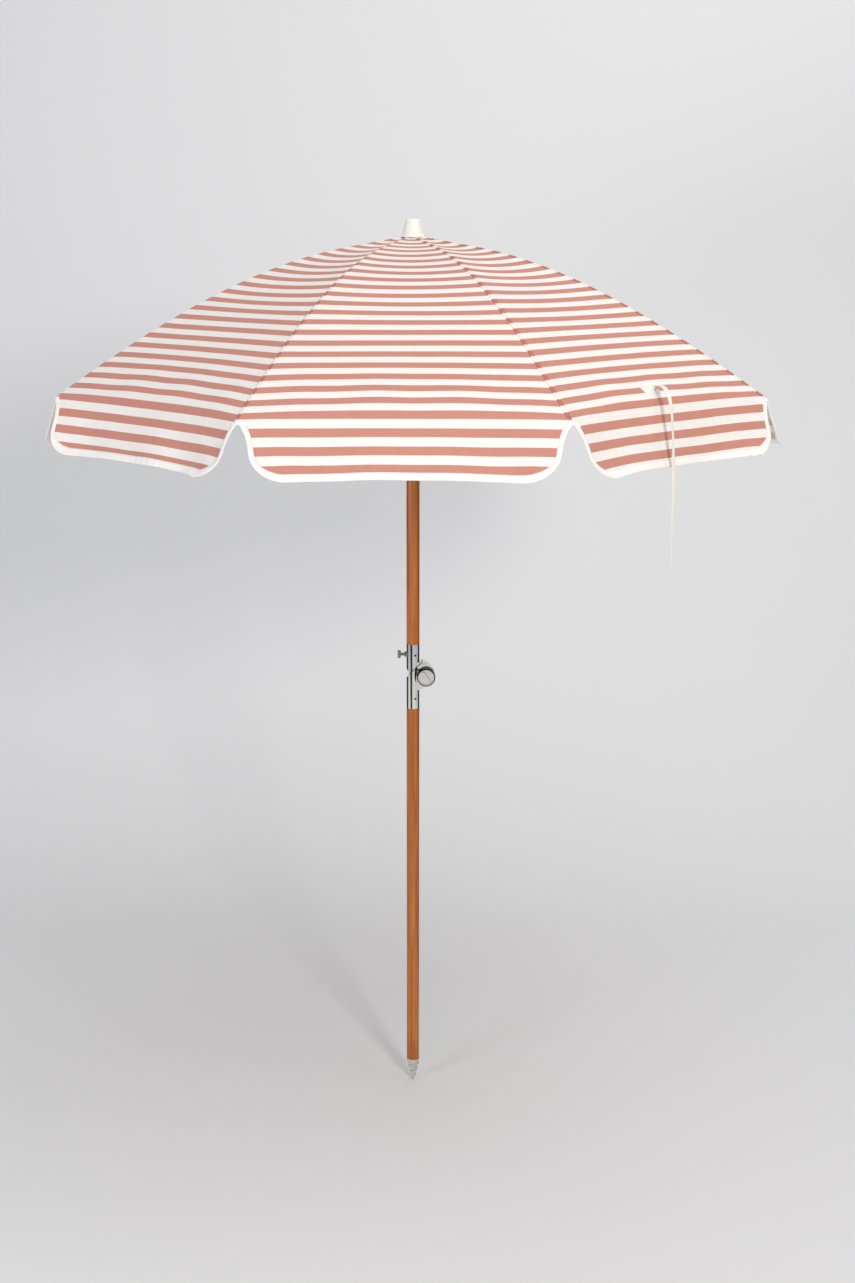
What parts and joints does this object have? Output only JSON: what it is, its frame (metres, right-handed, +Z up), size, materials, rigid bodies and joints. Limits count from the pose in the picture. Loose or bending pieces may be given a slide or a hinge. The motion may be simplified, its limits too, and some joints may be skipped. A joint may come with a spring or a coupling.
{
  "type": "beach umbrella",
  "caption": "Striped panelled beach umbrella with a scalloped valance, a two-piece wooden pole, a metal tilt joint, a finial and a pointed ground spike.",
  "frame": {"origin": "tip of the ground spike, on the pole's axis, below the middle of the canopy", "axes": "+Z up along the pole; -Y towards the middle of panel 1, the side with the tilt knob; +X the side the canopy tilts to"},
  "size_m": [1.592, 1.592, 2.2],
  "materials": {
    "plated_steel": "bright plated, streaked",
    "rib_steel": "drawn wire",
    "spike_plastic": "translucent off-white",
    "white_plastic": "moulded ivory white",
    "striped_canvas": "woven, dusty pink and off-white stripes",
    "white_webbing": "woven white",
    "turned_wood": "varnished"
  },
  "bodies": {
    "ground_pole": {"ground_spike": "spike_plastic", "lower_pole": "turned_wood", "tilt_lower": "plated_steel", "lower_rivet": "plated_steel", "tilt_bolt": "plated_steel"},
    "tilt_head": {"tilt_upper": "plated_steel", "upper_rivet": "plated_steel", "screw_boss": "plated_steel"},
    "tilt_knob": {"tilt_knob": "plated_steel"},
    "thumb_screw": {"thumb_screw": "plated_steel"},
    "canopy_pole": {"upper_pole": "turned_wood", "catch_spring": "rib_steel", "crown": "white_plastic", "crown_wire": "rib_steel", "canopy_washer": "white_plastic", "finial": "white_plastic", "finial_stud": "rib_steel"},
    "runner": {"runner": "white_plastic", "runner_wire": "rib_steel"},
    "rib_1": {"rib_1": "rib_steel"},
    "stretcher_1": {"stretcher_1": "rib_steel"},
    "rib_2": {"rib_2": "rib_steel"},
    "stretcher_2": {"stretcher_2": "rib_steel"},
    "rib_3": {"rib_3": "rib_steel"},
    "stretcher_3": {"stretcher_3": "rib_steel"},
    "rib_4": {"rib_4": "rib_steel"},
    "stretcher_4": {"stretcher_4": "rib_steel"},
    "rib_5": {"rib_5": "rib_steel"},
    "stretcher_5": {"stretcher_5": "rib_steel"},
    "rib_6": {"rib_6": "rib_steel"},
    "stretcher_6": {"stretcher_6": "rib_steel"},
    "rib_7": {"rib_7": "rib_steel"},
    "stretcher_7": {"stretcher_7": "rib_steel"},
    "rib_8": {"rib_8": "rib_steel"},
    "stretcher_8": {"stretcher_8": "rib_steel"},
    "panel_1_left": {"panel_1_left": "striped_canvas"},
    "panel_1_right": {"panel_1_right": "striped_canvas"},
    "panel_2_left": {"panel_2_left": "striped_canvas", "tie_patch": "white_webbing", "tie_snap": "plated_steel"},
    "panel_2_right": {"panel_2_right": "striped_canvas"},
    "panel_3_left": {"panel_3_left": "striped_canvas"},
    "panel_3_right": {"panel_3_right": "striped_canvas"},
    "panel_4_left": {"panel_4_left": "striped_canvas"},
    "panel_4_right": {"panel_4_right": "striped_canvas"},
    "panel_5_left": {"panel_5_left": "striped_canvas"},
    "panel_5_right": {"panel_5_right": "striped_canvas"},
    "panel_6_left": {"panel_6_left": "striped_canvas"},
    "panel_6_right": {"panel_6_right": "striped_canvas"},
    "panel_7_left": {"panel_7_left": "striped_canvas"},
    "panel_7_right": {"panel_7_right": "striped_canvas"},
    "panel_8_left": {"panel_8_left": "striped_canvas"},
    "panel_8_right": {"panel_8_right": "striped_canvas"},
    "tie_strap": {"tie_strap": "white_webbing"}
  },
  "joints": [
    {"name": "canopy_tilt", "type": "hinge", "parent": "ground_pole", "child": "tilt_head", "pos_m": [0.033, 0, 1.105], "axis": [0, 1, 0], "range_deg": [0, 90]},
    {"name": "knob_turn", "type": "hinge", "parent": "ground_pole", "child": "tilt_knob", "pos_m": [0.033, -0.02, 1.105], "axis": [0, -1, 0], "continuous": true},
    {"name": "screw_turn", "type": "hinge", "parent": "tilt_head", "child": "thumb_screw", "pos_m": [-0.03, 0, 1.158], "axis": [-1, 0, 0], "continuous": true},
    {"name": "pole_lift", "type": "slide", "parent": "tilt_head", "child": "canopy_pole", "axis": [0, 0, 1], "range_m": [0, 0.1]},
    {"name": "runner_slide", "type": "slide", "parent": "canopy_pole", "child": "runner", "axis": [0, 0, -1], "range_m": [0, 0.45649], "deforming": ["catch_spring"]},
    {"name": "rib_1_hinge", "type": "hinge", "parent": "canopy_pole", "child": "rib_1", "pos_m": [0.00804, -0.0194, 2.1365], "axis": [0.9239, 0.3827, 0], "range_deg": [0, 61]},
    {"name": "stretcher_1_hinge", "type": "hinge", "parent": "runner", "child": "stretcher_1", "pos_m": [0.0041, -0.02428, 1.8], "axis": [-0.9239, -0.3827, 0], "range_deg": [0, 42.12]},
    {"name": "rib_2_hinge", "type": "hinge", "parent": "canopy_pole", "child": "rib_2", "pos_m": [0.0194, -0.00804, 2.1365], "axis": [0.3827, 0.9239, 0], "range_deg": [0, 61]},
    {"name": "stretcher_2_hinge", "type": "hinge", "parent": "runner", "child": "stretcher_2", "pos_m": [0.02007, -0.01427, 1.8], "axis": [-0.3827, -0.9239, 0], "range_deg": [0, 42.12]},
    {"name": "rib_3_hinge", "type": "hinge", "parent": "canopy_pole", "child": "rib_3", "pos_m": [0.0194, 0.00804, 2.1365], "axis": [-0.3827, 0.9239, 0], "range_deg": [0, 61]},
    {"name": "stretcher_3_hinge", "type": "hinge", "parent": "runner", "child": "stretcher_3", "pos_m": [0.02428, 0.0041, 1.8], "axis": [0.3827, -0.9239, 0], "range_deg": [0, 42.12]},
    {"name": "rib_4_hinge", "type": "hinge", "parent": "canopy_pole", "child": "rib_4", "pos_m": [0.00804, 0.0194, 2.1365], "axis": [-0.9239, 0.3827, 0], "range_deg": [0, 61]},
    {"name": "stretcher_4_hinge", "type": "hinge", "parent": "runner", "child": "stretcher_4", "pos_m": [0.01427, 0.02007, 1.8], "axis": [0.9239, -0.3827, 0], "range_deg": [0, 42.12]},
    {"name": "rib_5_hinge", "type": "hinge", "parent": "canopy_pole", "child": "rib_5", "pos_m": [-0.00804, 0.0194, 2.1365], "axis": [-0.9239, -0.3827, 0], "range_deg": [0, 61]},
    {"name": "stretcher_5_hinge", "type": "hinge", "parent": "runner", "child": "stretcher_5", "pos_m": [-0.0041, 0.02428, 1.8], "axis": [0.9239, 0.3827, 0], "range_deg": [0, 42.12]},
    {"name": "rib_6_hinge", "type": "hinge", "parent": "canopy_pole", "child": "rib_6", "pos_m": [-0.0194, 0.00804, 2.1365], "axis": [-0.3827, -0.9239, 0], "range_deg": [0, 61]},
    {"name": "stretcher_6_hinge", "type": "hinge", "parent": "runner", "child": "stretcher_6", "pos_m": [-0.02007, 0.01427, 1.8], "axis": [0.3827, 0.9239, 0], "range_deg": [0, 42.12]},
    {"name": "rib_7_hinge", "type": "hinge", "parent": "canopy_pole", "child": "rib_7", "pos_m": [-0.0194, -0.00804, 2.1365], "axis": [0.3827, -0.9239, 0], "range_deg": [0, 61]},
    {"name": "stretcher_7_hinge", "type": "hinge", "parent": "runner", "child": "stretcher_7", "pos_m": [-0.02428, -0.0041, 1.8], "axis": [-0.3827, 0.9239, 0], "range_deg": [0, 42.12]},
    {"name": "rib_8_hinge", "type": "hinge", "parent": "canopy_pole", "child": "rib_8", "pos_m": [-0.00804, -0.0194, 2.1365], "axis": [0.9239, -0.3827, 0], "range_deg": [0, 61]},
    {"name": "stretcher_8_hinge", "type": "hinge", "parent": "runner", "child": "stretcher_8", "pos_m": [-0.01427, -0.02007, 1.8], "axis": [-0.9239, 0.3827, 0], "range_deg": [0, 42.12]},
    {"name": "panel_1_left_fold", "type": "hinge", "parent": "rib_8", "child": "panel_1_left", "pos_m": [-0.00418, -0.021, 2.1365], "axis": [0.1689, 0.8492, -0.5002], "range_deg": [0, 22.73], "deforming": ["panel_1_left"]},
    {"name": "panel_1_right_fold", "type": "hinge", "parent": "rib_1", "child": "panel_1_right", "pos_m": [0.00418, -0.021, 2.1365], "axis": [0.1689, -0.8492, 0.5002], "range_deg": [0, 22.73], "deforming": ["panel_1_right"]},
    {"name": "panel_2_left_fold", "type": "hinge", "parent": "rib_1", "child": "panel_2_left", "pos_m": [0.0119, -0.0178, 2.1365], "axis": [-0.4811, 0.72, -0.5002], "range_deg": [0, 22.73], "deforming": ["panel_2_left"]},
    {"name": "panel_2_right_fold", "type": "hinge", "parent": "rib_2", "child": "panel_2_right", "pos_m": [0.0178, -0.0119, 2.1365], "axis": [0.72, -0.4811, 0.5002], "range_deg": [0, 22.73], "deforming": ["panel_2_right"]},
    {"name": "panel_3_left_fold", "type": "hinge", "parent": "rib_2", "child": "panel_3_left", "pos_m": [0.021, -0.00418, 2.1365], "axis": [-0.8492, 0.1689, -0.5002], "range_deg": [0, 22.73], "deforming": ["panel_3_left"]},
    {"name": "panel_3_right_fold", "type": "hinge", "parent": "rib_3", "child": "panel_3_right", "pos_m": [0.021, 0.00418, 2.1365], "axis": [0.8492, 0.1689, 0.5002], "range_deg": [0, 22.73], "deforming": ["panel_3_right"]},
    {"name": "panel_4_left_fold", "type": "hinge", "parent": "rib_3", "child": "panel_4_left", "pos_m": [0.0178, 0.0119, 2.1365], "axis": [-0.72, -0.4811, -0.5002], "range_deg": [0, 22.73], "deforming": ["panel_4_left"]},
    {"name": "panel_4_right_fold", "type": "hinge", "parent": "rib_4", "child": "panel_4_right", "pos_m": [0.0119, 0.0178, 2.1365], "axis": [0.4811, 0.72, 0.5002], "range_deg": [0, 22.73], "deforming": ["panel_4_right"]},
    {"name": "panel_5_left_fold", "type": "hinge", "parent": "rib_4", "child": "panel_5_left", "pos_m": [0.00418, 0.021, 2.1365], "axis": [-0.1689, -0.8492, -0.5002], "range_deg": [0, 22.73], "deforming": ["panel_5_left"]},
    {"name": "panel_5_right_fold", "type": "hinge", "parent": "rib_5", "child": "panel_5_right", "pos_m": [-0.00418, 0.021, 2.1365], "axis": [-0.1689, 0.8492, 0.5002], "range_deg": [0, 22.73], "deforming": ["panel_5_right"]},
    {"name": "panel_6_left_fold", "type": "hinge", "parent": "rib_5", "child": "panel_6_left", "pos_m": [-0.0119, 0.0178, 2.1365], "axis": [0.4811, -0.72, -0.5002], "range_deg": [0, 22.73], "deforming": ["panel_6_left"]},
    {"name": "panel_6_right_fold", "type": "hinge", "parent": "rib_6", "child": "panel_6_right", "pos_m": [-0.0178, 0.0119, 2.1365], "axis": [-0.72, 0.4811, 0.5002], "range_deg": [0, 22.73], "deforming": ["panel_6_right"]},
    {"name": "panel_7_left_fold", "type": "hinge", "parent": "rib_6", "child": "panel_7_left", "pos_m": [-0.021, 0.00418, 2.1365], "axis": [0.8492, -0.1689, -0.5002], "range_deg": [0, 22.73], "deforming": ["panel_7_left"]},
    {"name": "panel_7_right_fold", "type": "hinge", "parent": "rib_7", "child": "panel_7_right", "pos_m": [-0.021, -0.00418, 2.1365], "axis": [-0.8492, -0.1689, 0.5002], "range_deg": [0, 22.73], "deforming": ["panel_7_right"]},
    {"name": "panel_8_left_fold", "type": "hinge", "parent": "rib_7", "child": "panel_8_left", "pos_m": [-0.0178, -0.0119, 2.1365], "axis": [0.72, 0.4811, -0.5002], "range_deg": [0, 22.73], "deforming": ["panel_8_left"]},
    {"name": "panel_8_right_fold", "type": "hinge", "parent": "rib_8", "child": "panel_8_right", "pos_m": [-0.0119, -0.0178, 2.1365], "axis": [-0.4811, -0.72, 0.5002], "range_deg": [0, 22.73], "deforming": ["panel_8_right"]},
    {"name": "strap_hang", "type": "hinge", "parent": "panel_2_left", "child": "tie_strap", "pos_m": [0.51265, -0.51265, 1.8605], "axis": [-0.7071, -0.7071, 0], "range_deg": [0, 61]}
  ],
  "couplings": [
    {"joint": "rib_1_hinge", "follows": "runner_slide", "rad_per_m": 2.3322},
    {"joint": "stretcher_1_hinge", "follows": "runner_slide", "rad_per_m": 1.6102},
    {"joint": "rib_2_hinge", "follows": "runner_slide", "rad_per_m": 2.3322},
    {"joint": "stretcher_2_hinge", "follows": "runner_slide", "rad_per_m": 1.6102},
    {"joint": "rib_3_hinge", "follows": "runner_slide", "rad_per_m": 2.3322},
    {"joint": "stretcher_3_hinge", "follows": "runner_slide", "rad_per_m": 1.6102},
    {"joint": "rib_4_hinge", "follows": "runner_slide", "rad_per_m": 2.3322},
    {"joint": "stretcher_4_hinge", "follows": "runner_slide", "rad_per_m": 1.6102},
    {"joint": "rib_5_hinge", "follows": "runner_slide", "rad_per_m": 2.3322},
    {"joint": "stretcher_5_hinge", "follows": "runner_slide", "rad_per_m": 1.6102},
    {"joint": "rib_6_hinge", "follows": "runner_slide", "rad_per_m": 2.3322},
    {"joint": "stretcher_6_hinge", "follows": "runner_slide", "rad_per_m": 1.6102},
    {"joint": "rib_7_hinge", "follows": "runner_slide", "rad_per_m": 2.3322},
    {"joint": "stretcher_7_hinge", "follows": "runner_slide", "rad_per_m": 1.6102},
    {"joint": "rib_8_hinge", "follows": "runner_slide", "rad_per_m": 2.3322},
    {"joint": "stretcher_8_hinge", "follows": "runner_slide", "rad_per_m": 1.6102},
    {"joint": "panel_1_left_fold", "follows": "runner_slide", "rad_per_m": 0.86905},
    {"joint": "panel_1_right_fold", "follows": "runner_slide", "rad_per_m": 0.86905},
    {"joint": "panel_2_left_fold", "follows": "runner_slide", "rad_per_m": 0.86905},
    {"joint": "panel_2_right_fold", "follows": "runner_slide", "rad_per_m": 0.86905},
    {"joint": "panel_3_left_fold", "follows": "runner_slide", "rad_per_m": 0.86905},
    {"joint": "panel_3_right_fold", "follows": "runner_slide", "rad_per_m": 0.86905},
    {"joint": "panel_4_left_fold", "follows": "runner_slide", "rad_per_m": 0.86905},
    {"joint": "panel_4_right_fold", "follows": "runner_slide", "rad_per_m": 0.86905},
    {"joint": "panel_5_left_fold", "follows": "runner_slide", "rad_per_m": 0.86905},
    {"joint": "panel_5_right_fold", "follows": "runner_slide", "rad_per_m": 0.86905},
    {"joint": "panel_6_left_fold", "follows": "runner_slide", "rad_per_m": 0.86905},
    {"joint": "panel_6_right_fold", "follows": "runner_slide", "rad_per_m": 0.86905},
    {"joint": "panel_7_left_fold", "follows": "runner_slide", "rad_per_m": 0.86905},
    {"joint": "panel_7_right_fold", "follows": "runner_slide", "rad_per_m": 0.86905},
    {"joint": "panel_8_left_fold", "follows": "runner_slide", "rad_per_m": 0.86905},
    {"joint": "panel_8_right_fold", "follows": "runner_slide", "rad_per_m": 0.86905},
    {"joint": "strap_hang", "follows": "runner_slide", "rad_per_m": 2.3322}
  ]
}
